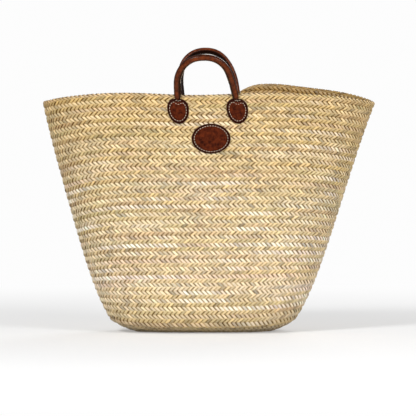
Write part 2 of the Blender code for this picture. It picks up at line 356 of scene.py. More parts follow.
def node(tree, kind, **inputs):
    """Shader node; _key sets a property, i0 the first input, any other key the input of that name."""
    made = tree.nodes.new(kind)
    for key, value in inputs.items():
        if key.startswith("_"):
            setattr(made, key[1:], value)
            continue
        place = int(key[1:]) if key[0] == "i" and key[1:].isdigit() else key
        connect(tree, value, made.inputs[place])
    return made


def start_material(name):
    material = bpy.data.materials.new(name)
    material.use_nodes = True
    tree = material.node_tree
    return material, tree, tree.nodes["Principled BSDF"]


def noise(tree, vector, scale, detail=3.0, roughness=0.5):
    made = node(tree, "ShaderNodeTexNoise", Vector=vector, Scale=scale, Detail=detail, Roughness=roughness)
    return made.outputs["Fac"]


def stretched(tree, vector, scale):
    return node(tree, "ShaderNodeVectorMath", _operation="MULTIPLY", i0=vector, i1=scale).outputs[0]


def remap(tree, value, low, high, out_low, out_high):
    made = node(tree, "ShaderNodeMapRange", **{"Value": value, "From Min": low, "From Max": high,
                                               "To Min": out_low, "To Max": out_high})
    return made.outputs["Result"]


def mix_colour(tree, factor, first, second, blend="MIX"):
    made = tree.nodes.new("ShaderNodeMix")
    made.data_type = "RGBA"
    made.blend_type = blend
    colours = [s for s in made.inputs if s.type == "RGBA"]
    for socket, value in zip([made.inputs["Factor"]] + colours, (factor, first, second)):
        connect(tree, value, socket)
    return next(s for s in made.outputs if s.type == "RGBA")


def attribute(tree, name, output):
    return node(tree, "ShaderNodeAttribute", _attribute_name=name).outputs[output]


def bump(tree, shader, height, distance, strength=1.0):
    made = node(tree, "ShaderNodeBump", Height=height, Distance=distance, Strength=strength)
    tree.links.new(made.outputs["Normal"], shader.inputs["Normal"])


FIBRE_STRETCH = (11.0, 2.2, 3.7)
BLOTCH_STRETCH = (1.4, 1.7, 9.1)
STRAND_EDGE_PAINTED_SHADE = (0.92, 0.78, 0.54, 1)
HOLLOW_PAINTED_SHADE = (0.075, 0.032, 0.006, 1)
DEEP_GAP_PAINTED_SHADE = (0.035, 0.014, 0.003, 1)


def straw_material():
    """Leaf strands with fine fibres; painted shade makes them warmer and darker towards their edges and
    dark in the gaps between them.
    """
    material, tree, shader = start_material("plaited_palm_leaf")
    tint = attribute(tree, "straw_tint", "Color")
    depth = attribute(tree, "straw_depth", "Fac")
    fibre = attribute(tree, "straw_fibre", "Vector")
    fine = noise(tree, stretched(tree, fibre, FIBRE_STRETCH), 1.0, 3.0, 0.6)
    blotch = noise(tree, stretched(tree, fibre, BLOTCH_STRETCH), 1.0, 2.0)
    streak = remap(tree, fine, 0.3, 0.7, 0.80, 1.10)
    patchy = remap(tree, blotch, 0.3, 0.7, 0.90, 1.06)
    shade = node(tree, "ShaderNodeMath", _operation="MULTIPLY", i0=streak, i1=patchy).outputs[0]
    body = mix_colour(tree, 1.0, tint, shade, "MULTIPLY")
    # painted shade: the straw is darker and warmer where a strand curves down towards its edge
    edge_shaded = mix_colour(tree, 1.0, body, STRAND_EDGE_PAINTED_SHADE, "MULTIPLY")
    body = mix_colour(tree, remap(tree, depth, 0.72, 1.0, 0.0, 1.0), edge_shaded, body)
    # painted shade in the gaps: brown in the hollows between strands, near black in the deepest gaps and
    # pits
    hollow = remap(tree, depth, 0.34, 0.82, 0.0, 1.0)
    colour = mix_colour(tree, hollow, HOLLOW_PAINTED_SHADE, body)
    colour = mix_colour(tree, remap(tree, depth, 0.05, 0.30, 0.0, 1.0), DEEP_GAP_PAINTED_SHADE, colour)
    tree.links.new(colour, shader.inputs["Base Color"])
    tree.links.new(remap(tree, fine, 0.3, 0.7, 0.36, 0.56), shader.inputs["Roughness"])
    tree.links.new(remap(tree, hollow, 0.0, 1.0, 0.0, 0.60), shader.inputs["Specular IOR Level"])
    bump(tree, shader, fine, 0.0002, 0.5)
    return material


def leather_material(name, dark, light, edge, roughness, grain, shine):
    """Grained leather, darker where its edge attribute is 1: a dark edge band, and painted shade in
    grooves, in holes and on the shaded sides of the rolls.
    """
    material, tree, shader = start_material(name)
    place = node(tree, "ShaderNodeTexCoord").outputs["Object"]
    cloud = noise(tree, place, 150.0, 5.0, 0.75)
    fine = noise(tree, place, 700.0, 3.0, 0.6)
    pores = node(tree, "ShaderNodeTexVoronoi", Vector=place, Scale=1100.0).outputs["Distance"]
    body = mix_colour(tree, remap(tree, cloud, 0.36, 0.66, 0.0, 1.0), dark, light)
    body = mix_colour(tree, remap(tree, fine, 0.35, 0.7, 0.0, 0.35), body, dark)
    # the edge colour also serves as painted shade
    rim = attribute(tree, "leather_edge_and_shade", "Fac")
    colour = mix_colour(tree, rim, body, edge)
    tree.links.new(colour, shader.inputs["Base Color"])
    rough = remap(tree, fine, 0.3, 0.7, roughness - 0.08, roughness + 0.10)
    tree.links.new(rough, shader.inputs["Roughness"])
    shader.inputs["Specular IOR Level"].default_value = shine
    height = node(tree, "ShaderNodeMath", _operation="MULTIPLY_ADD", i0=pores, i1=0.6, i2=fine).outputs[0]
    bump(tree, shader, height, 0.00025, grain)
    return material


def thread_material(name, colour, dark):
    material, tree, shader = start_material(name)
    place = node(tree, "ShaderNodeTexCoord").outputs["Object"]
    wave = noise(tree, place, 1500.0, 2.0)
    body = mix_colour(tree, remap(tree, wave, 0.35, 0.65, 0.0, 1.0), dark, colour)
    tree.links.new(body, shader.inputs["Base Color"])
    shader.inputs["Roughness"].default_value = 0.7
    bump(tree, shader, wave, 0.0002, 0.6)
    return material


STRAW = straw_material()
TAB_LEATHER = leather_material("tab_leather", dark=(0.022, 0.0032, 0.0008, 1),
                               light=(0.150, 0.025, 0.0060, 1), edge=(0.022, 0.0034, 0.0011, 1),
                               roughness=0.40, grain=1.0, shine=0.06)
# the rolls' near-black edge colour is the painted shade on their sides and in the seam groove
ROLL_LEATHER = leather_material("rolled_leather", dark=(0.060, 0.0105, 0.0020, 1),
                                light=(0.235, 0.052, 0.0110, 1), edge=(0.006, 0.0013, 0.0005, 1),
                                roughness=0.27, grain=0.6, shine=0.13)
THREAD = thread_material("stitching_thread", colour=(0.88, 0.76, 0.62, 1), dark=(0.60, 0.46, 0.32, 1))
ROPE = thread_material("rope", colour=(0.45, 0.34, 0.20, 1), dark=(0.25, 0.17, 0.09, 1))


# --- plaited courses ---------------------------------------------------------

# places across one strand and how far the strand swells out there
COLUMNS = np.array([0.0, 0.12, 0.32, 0.5, 0.68, 0.88])
SWELL = np.array([0.0, 0.85, 0.98, 1.0, 0.98, 0.85, 0.0])
SWELL_AT = np.append(COLUMNS, 1.0)
# lines up a course, from its lower to its upper edge, and how far the strands stand out on each
LINES = np.array([0.0, 0.065, 0.19, 0.31, 0.435, 0.5, 0.565, 0.69, 0.81, 0.935, 1.0])
DIP = np.array([0.20, 0.75, 1.0, 1.0, 0.80, 0.40, 0.80, 1.0, 1.0, 0.75, 0.20])
DIP_DEPTH = {0.20: 0.62, 0.40: 0.80}
PIT_START = 0.1
CENTRE_GAP = 0.02
TAPER_SHARE = 0.9
TURN_OVERRUN = 0.04
TURN_SAMPLES = 2701
PALE = np.array([0.74, 0.59, 0.335])
# heights up the wall, as shares, and the tone of the straw there; the dark first entry, used for the base,
# is painted shade under the basket
HEIGHTS = (0.0, 0.06, 0.16, 0.50, 0.80, 1.0)
HEIGHT_TONE_AND_SHADE = np.array([(0.74, 0.71, 0.66), (1.03, 1.03, 1.06), (1.12, 1.13, 1.27),
                   (1.06, 1.06, 1.10), (0.98, 0.93, 0.84), (0.95, 0.86, 0.70)])
# painted light on the upper row of each course, which faces up, lighter and whiter; painted shade on the
# lower row, which faces down
UPPER_ROW_PAINTED_LIGHT = np.array([1.04, 1.09, 1.26])
LOWER_ROW_PAINTED_SHADE = np.array([0.98, 0.96, 0.90])
END_SHADE = 0.16
EDGE_TONE = 0.6
LEAST_WARM = np.array([1.0, 0.95, 0.74])
# painted shade on the inner side of the wall, darker and less yellow
INNER_PAINTED_SHADE = np.array([0.60, 0.53, 0.39])
TINTS = {
    "cream": np.array([0.90, 0.81, 0.68]),
    "gold": np.array([0.70, 0.53, 0.23]),
    "olive": np.array([0.55, 0.48, 0.23]),
    "rose": np.array([0.60, 0.40, 0.24]),
}


def course_edges(index, turn):
    """Lower and upper edge of a course of the spiral; the last one tapers out at its end."""
    turn = np.asarray(turn, float)
    low = np.full(turn.shape, -BASE_COURSES + CENTRE_GAP) if index == -BASE_COURSES else index + turn
    high = index + 1 + turn
    if index == WALL_COURSES - 1:
        high = high - TAPER_SHARE * np.clip((turn - 1 + END_TAPER) / END_TAPER, 0, 1) ** 2
    return low, high


def strand_count(index):
    """Turn for each strand place along a course, and the number of strands in it."""
    turn = np.linspace(-TURN_OVERRUN, 1 + TURN_OVERRUN, TURN_SAMPLES)
    low, high = course_edges(index, turn)
    place = surface((low + high) / 2, SEAM_ANGLE + 2 * pi * turn)
    length = np.append(0, np.cumsum(np.linalg.norm(np.diff(place, axis=0), axis=1)))
    first, last = np.interp([0, 1], turn, length)
    pitch = LOW_PITCH + (HIGH_PITCH - LOW_PITCH) * max(0, index) / WALL_COURSES
    count = int(round((last - first) / pitch))
    return turn, (length - first) / (last - first) * count, count


def wander(rng, places, step):
    """Smooth random line along the course, about -1 to 1."""
    knots = np.arange(-2, places.max() / step + 3)
    values = rng.uniform(-1, 1, len(knots))
    at = places / step
    low = np.floor(at)
    part = at - low
    part = part * part * (3 - 2 * part)
    k = (low + 2).astype(int)
    return values[k] * (1 - part) + values[k + 1] * part


def strand_colours(rng, count, share):
    """Colour of each strand of one row; the upper courses hold more gold and olive."""
    at = np.arange(count, dtype=float)
    colour = np.tile(PALE, (count, 1))
    for name, strength in (("cream", 0.95 - 0.5 * share), ("gold", 0.45 + 0.4 * share),
                           ("olive", 0.40 + 0.35 * share), ("rose", 0.65)):
        step = rng.uniform(6, 15)
        amount = np.clip(wander(rng, at, step) + 0.25 * wander(rng, at, 2.0) - 0.15, 0, 1) * strength
        colour += (TINTS[name] - colour) * amount[:, None]
    colour *= (1 + TONE_SPREAD * rng.standard_normal(count)).clip(0.66, 1.28)[:, None]
    odd = rng.random(count) < ODD_SHARE
    colour[odd] *= rng.uniform(0.62, 0.85, (odd.sum(), 1))
    return colour


def strand_draws(rng, size):
    """Random height, tilt, stray and gap shade of each strand of the lower and upper row, and whether its
    gap is painted as a pit.
    """
    heights = [1 + HEIGHT_SPREAD * rng.standard_normal(size) for _ in range(2)]
    tilts = [tilt + TILT_SPREAD * rng.standard_normal(size) for tilt in TILTS]
    strays = [STRAY * rng.standard_normal(size) for _ in range(2)]
    gaps = [np.clip(gap + GAP_SPREAD * rng.standard_normal(size), LEAST_GAP, 1.0) for gap in GAPS]
    pits = rng.random(size) < PIT_SHARE
    return heights, tilts, strays, gaps, pits


def line_shift(line, parts, is_rim):
    """Where a line of a course runs across it, with the teeth of both rows' strands."""
    centre_tooth = TOOTH * np.cos(2 * pi * (parts[0] - 0.5)) * max(0.0, 1 - abs(line - 0.5) / 0.25)
    low_tooth = -EDGE_TOOTH * np.cos(2 * pi * (parts[0] - 0.5)) * max(0.0, 1 - line / 0.2)
    top_tooth = (RIM_TOOTH if is_rim else EDGE_TOOTH) * np.cos(2 * pi * (parts[1] - 0.5))
    top_tooth = top_tooth * max(0.0, 1 - (1 - line) / 0.2)
    reach = EDGE_REACH * (1 if line == 1 else -1 if line == 0 else 0)
    if is_rim and line > 0.5:
        reach = -RIM_DROP * (line - 0.5) / 0.5
    return line + centre_tooth + low_tooth + top_tooth + reach


def hollow_depth(row, part, swell, line, dip, gap, pit):
    """1 on top of a strand, falling towards 0 in the gap beside it, where it sets the painted shade; a pit
    is painted nearly black as the shade of a gap right through, though the straw is not cut there.
    """
    if line == 0.5:
        valley = np.clip(swell / 0.85, 0, 1)
    else:
        valley = np.interp(0.5 - np.abs(part - 0.5), [0, 0.12, 0.32], [0, 0.76, 1])
    depth = (1 - gap * (1 - valley)) * DIP_DEPTH.get(dip, 1.0)
    # painted shade: a pit darkens the gap beside a lower-row strand as if it went right through
    if row == 0 and line > PIT_START:
        depth = depth * (1 - np.clip((np.abs(part - 0.5) - 0.32) / 0.18, 0, 1) * pit)
    return depth


def course_side(index, rng, turns, counts, count, sign):
    """Vertices, hollow depth and strand places of the outer (1) or inner (-1) face of a course."""
    u = (np.arange(count)[:, None] + COLUMNS).ravel()
    u = np.append(u, float(count))
    shift = 0.5 if sign < 0 else 0.0
    lower_part = (u + shift) % 1.0
    parts = (lower_part, (lower_part + 0.5) % 1.0)
    swells = [np.interp(part, SWELL_AT, SWELL) for part in parts]
    numbers = [np.floor(u + shift + half).astype(int) for half in (0.0, 0.5)]
    size = count + 2
    heights, tilts, strays, gaps, pits = strand_draws(rng, size)
    stray_lines = [np.interp(u, np.arange(size), stray) for stray in strays]
    at_end = end_share(SEAM_ANGLE + 2 * pi * np.interp(u, counts, turns))
    ends = np.clip(np.minimum(u, count - u), 0, 1)
    places, depths, strands = [], [], []
    for line, dip in zip(LINES, DIP):
        row = 1 if line > 0.5 else 0
        middle = line == 0.5
        part = parts[row]
        number = numbers[row]
        swell = np.maximum(*swells) if middle else swells[row]
        lean = np.zeros(len(u)) if middle else tilts[row][number] * (-1 if row else 1)
        tilt = lean * (part - 0.5) * np.minimum(1, 4 * (0.5 - abs(part - 0.5)))
        rise = STRAND_SWELL * dip * swell * (heights[row][number] + tilt)
        bulge = 1 - (2 * line - 1) ** 2
        out = HALF_THICKNESS + (COURSE_BULGE + END_BULGE * at_end) * bulge ** 0.8 + rise
        stray = stray_lines[row] * (0 if middle else 1) * ends
        lean_over = STRAND_LEAN * (0.25 - abs(line - 0.5))
        turn = np.interp(u + lean_over + stray, counts, turns)
        low, high = course_edges(index, turn)
        course = low + (high - low) * line_shift(line, parts, index == WALL_COURSES - 1)
        angle = SEAM_ANGLE + 2 * pi * turn
        normal = outward(low + (high - low) * line, angle)
        places.append(surface(course, angle) + normal * (sign * out - MIDDLE_DEPTH)[:, None])
        edge = np.where(part < 0.5, number, np.minimum(number + 1, size - 1))
        depths.append(hollow_depth(row, part, swell, line, dip, gaps[row][edge], pits[edge]))
        bands = (u + 13.7 * index, np.full(len(u), line * 2), np.full(len(u), index * 1.3 + sign))
        strands.append(np.stack(bands, -1))
    return np.array(places), np.array(depths), np.array(strands), len(u)


def course_label(index):
    return f"base_course_{index + BASE_COURSES + 1}" if index < 0 else f"wall_course_{index + 1:02d}"


def course_faces(rows, columns):
    """Faces of the outer and inner side, then of the two long edges and the two ends."""
    size = rows * columns
    c = np.arange(columns - 1)
    top = (rows - 1) * columns
    r = np.arange(rows - 1) * columns
    last = r + columns - 1
    return [grid_faces(rows, columns),
            grid_faces(rows, columns, size, flip=True),
            np.stack([c + 1, c, c + size, c + 1 + size], -1),
            np.stack([top + c, top + c + 1, top + c + 1 + size, top + c + size], -1),
            np.stack([r, r + columns, r + columns + size, r + size], -1),
            np.stack([last + columns, last, last + size, last + columns + size], -1)]


def side_tints(rows_of_colours, sign, columns, turns, counts):
    """Tint of each face of one side of a course; the lower row gets a little painted shade at the basket's
    ends.
    """
    low_row, up_row = rows_of_colours
    centre = (np.arange(columns - 1) + 0.5) / len(COLUMNS)
    shift = 0.5 if sign < 0 else 0.0
    low = low_row[np.floor(centre + shift).astype(int)]
    high = up_row[np.floor(centre + shift + 0.5).astype(int)]
    at_end = end_share(SEAM_ANGLE + 2 * pi * np.interp(centre, counts, turns))[:, None]
    # painted shade on the lower row at the basket's ends
    low = low * (1 - END_SHADE * at_end)
    tints = np.concatenate([low if line <= 0.5 else high for line in LINES[1:]])
    return np.minimum(tints, tints[:, :1] * LEAST_WARM).clip(0, 0.95)


def add_course(index):
    rng = np.random.default_rng(COURSE_SEED + index)
    turns, counts, count = strand_count(index)
    outer, outer_depth, outer_fibre, columns = course_side(index, rng, turns, counts, count, 1)
    inner, inner_depth, inner_fibre, _ = course_side(index, rng, turns, counts, count, -1)
    faces = course_faces(len(LINES), columns)
    vertices = np.concatenate([outer.reshape(-1, 3), inner.reshape(-1, 3)])
    vertices[:, 2] = np.maximum(vertices[:, 2], FLOOR_CLEARANCE)
    label = course_label(index)
    obj = new_object(f"palm_{label}", vertices, np.concatenate(faces), STRAW)
    share = max(0, index + 1) / WALL_COURSES
    tone_and_shade = np.array([np.interp(share, HEIGHTS, HEIGHT_TONE_AND_SHADE[:, i]) for i in range(3)])
    # each row's colour times its painted light or shade: lighter upper row, darker lower row, shaded inner
    # side
    row_tints = (LOWER_ROW_PAINTED_SHADE, UPPER_ROW_PAINTED_LIGHT, INNER_PAINTED_SHADE, INNER_PAINTED_SHADE)
    colours = [strand_colours(rng, count + 2, share) * tone_and_shade * tint for tint in row_tints]
    edge_count = sum(len(f) for f in faces[2:])
    tint = np.concatenate([side_tints(colours[:2], 1, columns, turns, counts),
                           side_tints(colours[2:], -1, columns, turns, counts),
                           np.tile(PALE * EDGE_TONE, (edge_count, 1))])
    set_values(obj, "straw_tint", "FLOAT_COLOR", "FACE", np.column_stack([tint, np.ones(len(tint))]))
    # the depth attribute sets the painted shade between the strands
    depth = np.concatenate([outer_depth.ravel(), inner_depth.ravel()])
    set_values(obj, "straw_depth", "FLOAT", "POINT", depth)
    fibre = np.concatenate([outer_fibre.reshape(-1, 3), inner_fibre.reshape(-1, 3)])
    set_values(obj, "straw_fibre", "FLOAT_VECTOR", "POINT", fibre)
    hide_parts(label)
    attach(obj, "root")


# --- leather plates and stitches ----------------------------------------------

def tab_outline(turn):
    """Shield, widest above its middle, with a dip in its top."""
    x = TAB_WIDTH / 2 * np.cos(turn) * (1 + 0.17 * np.sin(turn))
    y = TAB_HEIGHT / 2 * signed_power(np.sin(turn), np.where(np.sin(turn) > 0, 0.9, 0.8))
    return x - TAB_SKEW * y, y - np.where(y > 0, TAB_NOTCH * np.exp(-(x / TAB_NOTCH_WIDTH) ** 2), 0)


def patch_outline(turn):
    return PATCH_WIDTH / 2 * np.cos(turn), PATCH_HEIGHT / 2 * np.sin(turn)


PLATE_RINGS = (0.0, 0.12, 0.25, 0.38, 0.50, 0.60, 0.68, 0.74, 0.78, 0.80, 0.82, 0.86, 0.90, 0.94, 0.97,
               0.99, 1.0)
CENTRE_RING = 0.004
BACK_RINGS = (1.0, 0.93, CENTRE_RING)


def plate_height(share, inset):
    """Height of a sewn leather piece's face above its back, as a share of its thickness."""
    pillow = 0.10 * (1 - (share / inset) ** 2) if share < inset else 0.0
    groove = 0.30 * exp(-((share - inset) / 0.028) ** 2)
    edge = sqrt(max(0.0, 1 - max(0.0, (share - 0.90) / 0.10) ** 2))
    return 0.35 + 0.65 * edge + pillow - groove


def hole_dent_and_shade(outline_of, x, y):
    """1 at the hole where a roll enters its tab, falling to 0 round it, where the leather is sunk a little
    and painted dark as the shade in the hole; the patch has none.
    """
    if outline_of is not tab_outline:
        return np.zeros(len(x))
    away = np.hypot(x, (y - TAB_HEIGHT / 2 + HOLE_DROP) * 1.25) / HOLE_SIZE
    return np.clip(1.6 - 1.2 * away, 0, 1)


def edge_band_and_groove_shade(share, inset):
    """How dark the leather is: painted shade in the stitching groove, and a dark band outside it."""
    outside = 0.95 * min(1.0, max(0.0, (share - inset - 0.01) / 0.04))
    return outside + 0.75 * exp(-((share - inset) / 0.03) ** 2)


def add_plate(name, outline_of, inset, centre, side):
    turn = 2 * pi * np.arange(PLATE_STEPS) / PLATE_STEPS
    x, y = outline_of(turn)
    x0, z0 = centre
    rings, edges = [], []
    for share in PLATE_RINGS:
        at = max(share, CENTRE_RING)
        high = LEATHER_OFFSET + LEATHER * plate_height(share, inset)
        pit = hole_dent_and_shade(outline_of, x * at, y * at)
        rings.append(wall_at(x0 - side * x * at, z0 + y * at, side, high - HOLE_DEPTH * pit))
        edges.append(np.maximum(pit, edge_band_and_groove_shade(share, inset)))
    for share in BACK_RINGS:
        rings.append(wall_at(x0 - side * x * share, z0 + y * share, side, LEATHER_OFFSET - LEATHER_SINK))
        edges.append(np.ones(PLATE_STEPS))
    faces = grid_faces(len(rings), PLATE_STEPS, wrap=True, flip=True)
    obj = new_object(name, np.concatenate(rings), faces, TAB_LEATHER)
    set_values(obj, "leather_edge_and_shade", "FLOAT", "POINT", np.concatenate(edges).clip(0, 1))
    return obj


def dash(path, normal, radius, sides=8):
    """One stitch: a short thread that dips at both ends."""
    thick = radius * np.array([0.25, 0.75, 0.95, 1, 1, 1, 0.95, 0.75, 0.25])
    at = np.linspace(0, 1, len(thick))
    source = np.linspace(0, 1, len(path))
    line = np.stack([np.interp(at, source, path[:, i]) for i in range(3)], -1)
    arch = np.sin(pi * at) ** 0.6
    line = line + normal * ((arch - 0.75) * radius * 1.3)[:, None]
    tangent = unit(np.gradient(line, axis=0))
    first = unit(np.cross(tangent, normal))
    second = np.cross(first, tangent)
    turn = 2 * pi * np.arange(sides) / sides
    return ring_points(line, first, second, thick[:, None], turn)


def dashes(name, runs, radius, material):
    """One object from a list of (path, normal) stitches."""
    vertices, faces, start = [], [], 0
    for path, normal in runs:
        ring = dash(path, normal, radius)
        rows, sides = ring.shape[:2]
        vertices.append(ring.reshape(-1, 3))
        faces += thread_faces(rows, sides, start)
        start += rows * sides
    return new_object(name, np.concatenate(vertices), np.concatenate(faces), material)


def loop_stitches(points, normals, length, gap):
    """Cut a closed line into stitches of even length."""
    closed = np.concatenate([points, points[:1]])
    step = np.linalg.norm(np.diff(closed, axis=0), axis=1)
    at = np.append(0, np.cumsum(step))
    count = int(round(at[-1] / (length + gap)))
    pitch = at[-1] / count
    runs = []
    for i in range(count):
        places = (i * pitch + np.linspace(0, pitch - gap, 7)) % at[-1]
        path = np.stack([np.interp(places, at, closed[:, k]) for k in range(3)], -1)
        k = int(np.searchsorted(at, places[3])) % len(points)
        runs.append((path, normals[k]))
    return runs


def tip_stitches(x0, z0, side, high):
    """The short stitch over a tab's hole and the two that run out from it."""
    top = z0 + TAB_HEIGHT / 2
    tip = top - HOLE_DROP + TIP_STITCH
    path = wall_at(x0, tip, side, high - 0.0003)
    face = unit(wall_at(x0, tip[1], side, high + 0.001) - path[1])
    runs = [(path, face)]
    for end in (-1, 1):
        height = top - TOP_STITCH_DROP - TOP_STITCH_SLOPE * TOP_STITCH
        runs.append((wall_at(x0 + end * TOP_STITCH, height, side, high - 0.0002), face))
    return runs


def add_loop(name, outline_of, inset, centre, side):
    """The stitching round a leather piece."""
    steps = 2 * PLATE_STEPS
    turn = 2 * pi * np.arange(steps) / steps
    x, y = outline_of(turn)
    x0, z0 = centre
    high = LEATHER_OFFSET + LEATHER * STITCH_SEAT + STITCH_RADIUS
    x, y = x * inset, y * inset
    if outline_of is tab_outline:
        dip = np.clip(1 - (np.abs(x) / LOOP_DIP_HALF_WIDTH) ** 1.6, 0, 1)
        y = y - np.where(y > 0, LOOP_DIP * dip, 0)
    points = wall_at(x0 - side * x, z0 + y, side, high)
    above = wall_at(x0 - side * x, z0 + y, side, high + 0.001)
    runs = loop_stitches(points, unit(above - points), STITCH_LENGTH, STITCH_GAP)
    if outline_of is tab_outline:
        runs += tip_stitches(x0, z0, side, high)
    return dashes(name, runs, STITCH_RADIUS, THREAD)


# --- handles -------------------------------------------------------------------

def hinge_height(side, x):
    """Hinge place on one leg, above and in front of the rim."""
    course = WALL_COURSES + (FRONT_RIM_AT if side < 0 else BACK_RIM_AT)
    low, high = (pi, 2 * pi) if side < 0 else (0.0, pi)
    for _ in range(40):
        middle = (low + high) / 2
        if wall_place(course, middle)[0] * -side < x * -side:
            low = middle
        else:
            high = middle
    rim = surface(course, (low + high) / 2)
    return np.array([x, rim[1] + side * HINGE_STANDOFF, rim[2] + HINGE_LIFT])


def leg_hinges(spec):
    return [hinge_height(spec["side"], spec["centre"] + end * ARCH_HALF_SPAN) for end in (-1, 1)]


def sway(spec, height, x):
    """How far the handle leans to the left at a height above its hinge."""
    even, right, full, below = spec["sway"]
    share = np.clip((height + below) / (spec["arch"] * full + below), 0, 1)
    return (1 - (1 - share) ** 1.25) * (even * ARCH_HALF_SPAN + right * x)


def roll_end(leg, hinge, up, spec):
    """Points from inside a tab up to the bending line, curved from the wall to the arch."""
    side = spec["side"]
    foot_height = leg[2] - HINGE_LIFT - TAB_DROP + TAB_RISE + FOOT_RISE
    foot_x = leg[0] - sway(spec, foot_height - hinge[2], leg[0] - hinge[0])
    leg[0] -= sway(spec, 0.0, leg[0] - hinge[0])
    deep = wall_at(foot_x, foot_height - FOOT_DEPTH, side, 0.0024)
    foot = wall_at(foot_x, foot_height, side, ROLL_RADIUS * 0.80)
    above = wall_at(foot_x, foot_height + 0.006, side, ROLL_RADIUS + LEATHER_OFFSET)
    start = (above - foot) / np.linalg.norm(above - foot)
    reach = np.linalg.norm(leg - foot) / 3
    t = np.linspace(0, 1, 22)[:, None]
    bend = ((1 - t) ** 3 * foot + 3 * t * (1 - t) ** 2 * (foot + start * reach)
            + 3 * t * t * (1 - t) * (leg - up * reach) + t ** 3 * leg)
    return np.concatenate([deep[None], (deep + foot)[None] / 2, bend[:-1]])


def handle_path(spec):
    """Centre line from tab to tab, the hinge centre, the arch's direction and the feet's middle."""
    side, lean = spec["side"], spec["lean"]
    legs = leg_hinges(spec)
    hinge = (legs[0] + legs[1]) / 2
    up = np.array([0.0, side * sin(lean), cos(lean)])
    turn = np.linspace(pi, 0, 121)
    x, z = outline(ARCH_HALF_SPAN, spec["arch"], ARCH_ROUNDNESS, turn)
    x = x - sway(spec, z, x)
    arch = hinge + np.outer(x, [1.0, 0.0, 0.0]) + np.outer(z, up)
    ends = [roll_end(np.array([leg[0], hinge[1], hinge[2]]), hinge, up, spec) for leg in legs]
    path = np.concatenate([ends[0], arch, ends[1][::-1]])
    return path, hinge, up, (ends[0][3] + ends[1][3]) / 2


def resample(path, step):
    at = np.append(0, np.cumsum(np.linalg.norm(np.diff(path, axis=0), axis=1)))
    count = int(round(at[-1] / step))
    places = np.linspace(0, at[-1], count + 1)
    smooth = np.stack([np.interp(places, at, path[:, i]) for i in range(3)], -1)
    for _ in range(12):
        smooth[1:-1] = (smooth[:-2] + 2 * smooth[1:-1] + smooth[2:]) / 4
    return smooth


def roll_frame(line, hinge, up, spec):
    """Directions across the roll at each place: to the inside of the loop, and beside it."""
    across = np.array([1.0, 0.0, 0.0])
    tangent = unit(np.gradient(line, axis=0))
    depth = unit(np.cross(across, up))
    inner = unit(np.cross(tangent, np.broadcast_to(depth, tangent.shape)))
    middle = hinge + up * spec["arch"] * LOOP_MIDDLE
    inner = inner * np.sign(np.sum(inner * (middle - line), axis=1))[:, None]
    upright = np.abs(tangent @ across) < 0.05
    inner[upright] = unit(np.sign(middle[0] - line[upright, 0])[:, None] * across[None])
    second = unit(np.cross(tangent, inner))
    return np.cross(second, tangent), second


def ridge(turn, place, width):
    """1 at one place round the roll, falling to 0 beside it."""
    return np.exp(-(np.angle(np.exp(1j * (turn - place))) / width) ** 2)


def roll_reach(rng, at, turn):
    """Radius of the roll at each place: creases along it, the overlap of the seam, and thinner ends."""
    crease = sum(depth * np.sin(2 * pi * at / length + rng.uniform(0, 6)) for depth, length in CREASES)
    overlap = SEAM_RIDGE * (ridge(turn, 0.0, 0.30) - ridge(turn, NOTCH_PLACE, 0.12))
    shape = 1 + overlap[None, :] + crease[:, None] * (0.4 + 0.6 * np.clip(np.cos(turn)[None, :], 0, 1))
    return ROLL_RADIUS * ROLL_TRIM * shape * end_taper(at)[:, None]


def end_taper(at):
    beside = np.minimum(at, at[-1] - at)
    return 1 - ROLL_TAPER * np.clip((ROLL_TAPER_LENGTH - beside) / ROLL_TAPER_LENGTH, 0, 1) ** 1.5


def roll_painted_shade(spec, at, turn):
    """Painted shade on the roll's leather: in the seam's groove and on its inner and outer side; it is also
    darker at its ends.
    """
    begins, width, darkness = spec["dark"]
    inside = darkness * np.clip((np.cos(turn) - begins) / width, 0, 1)
    outside = 0.75 * np.clip((-np.cos(turn) - 0.50) / 0.45, 0, 1)
    around = np.maximum(ridge(turn, NOTCH_PLACE, 0.12), inside + outside)
    ends = 0.6 * np.clip((0.006 - np.minimum(at, at[-1] - at)) / 0.004, 0, 1)
    return np.maximum(around[None, :], ends[:, None])


def pipe_faces(count, sides):
    """Faces of a pipe's outside, its bore and its two open ends."""
    size = count * sides
    k = np.arange(sides)
    j = (k + 1) % sides
    last = size - sides
    return [grid_faces(count, sides, wrap=True),
            grid_faces(count, sides, size, flip=True, wrap=True),
            np.stack([j, k, k + size, j + size], -1),
            np.stack([last + k, last + j, last + j + size, last + k + size], -1)]


def add_handle(name, spec):
    rng = np.random.default_rng(ROLL_SEED + spec["side"])
    path, hinge, up, foot = handle_path(spec)
    line = resample(path, ROLL_STEP)
    inner, second = roll_frame(line, hinge, up, spec)
    turn = 2 * pi * np.arange(ROLL_SIDES) / ROLL_SIDES
    at = np.arange(len(line)) * ROLL_STEP
    outside = ring_points(line, inner, second, roll_reach(rng, at, turn), turn)
    bore = ring_points(line, inner, second, ROLL_BORE * end_taper(at)[:, None], turn)
    vertices = np.concatenate([outside.reshape(-1, 3), bore.reshape(-1, 3)])
    faces = np.concatenate(pipe_faces(len(line), ROLL_SIDES))
    roll = new_object(f"{name}_handle_roll", vertices, faces, ROLL_LEATHER)
    tone = roll_painted_shade(spec, at, turn).ravel()
    set_values(roll, "leather_edge_and_shade", "FLOAT", "POINT", np.concatenate([tone, np.ones(len(tone))]))
    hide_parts(f"{name}_handle_sleeve", f"{name}_left_roll_end", f"{name}_right_roll_end")
    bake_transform(roll)
    inside = np.flatnonzero((line - hinge) @ up > CORE_CLEARANCE)
    add_seam(name, line, inner, inside)
    add_rope(name, line[inside], inner[inside], second[inside])


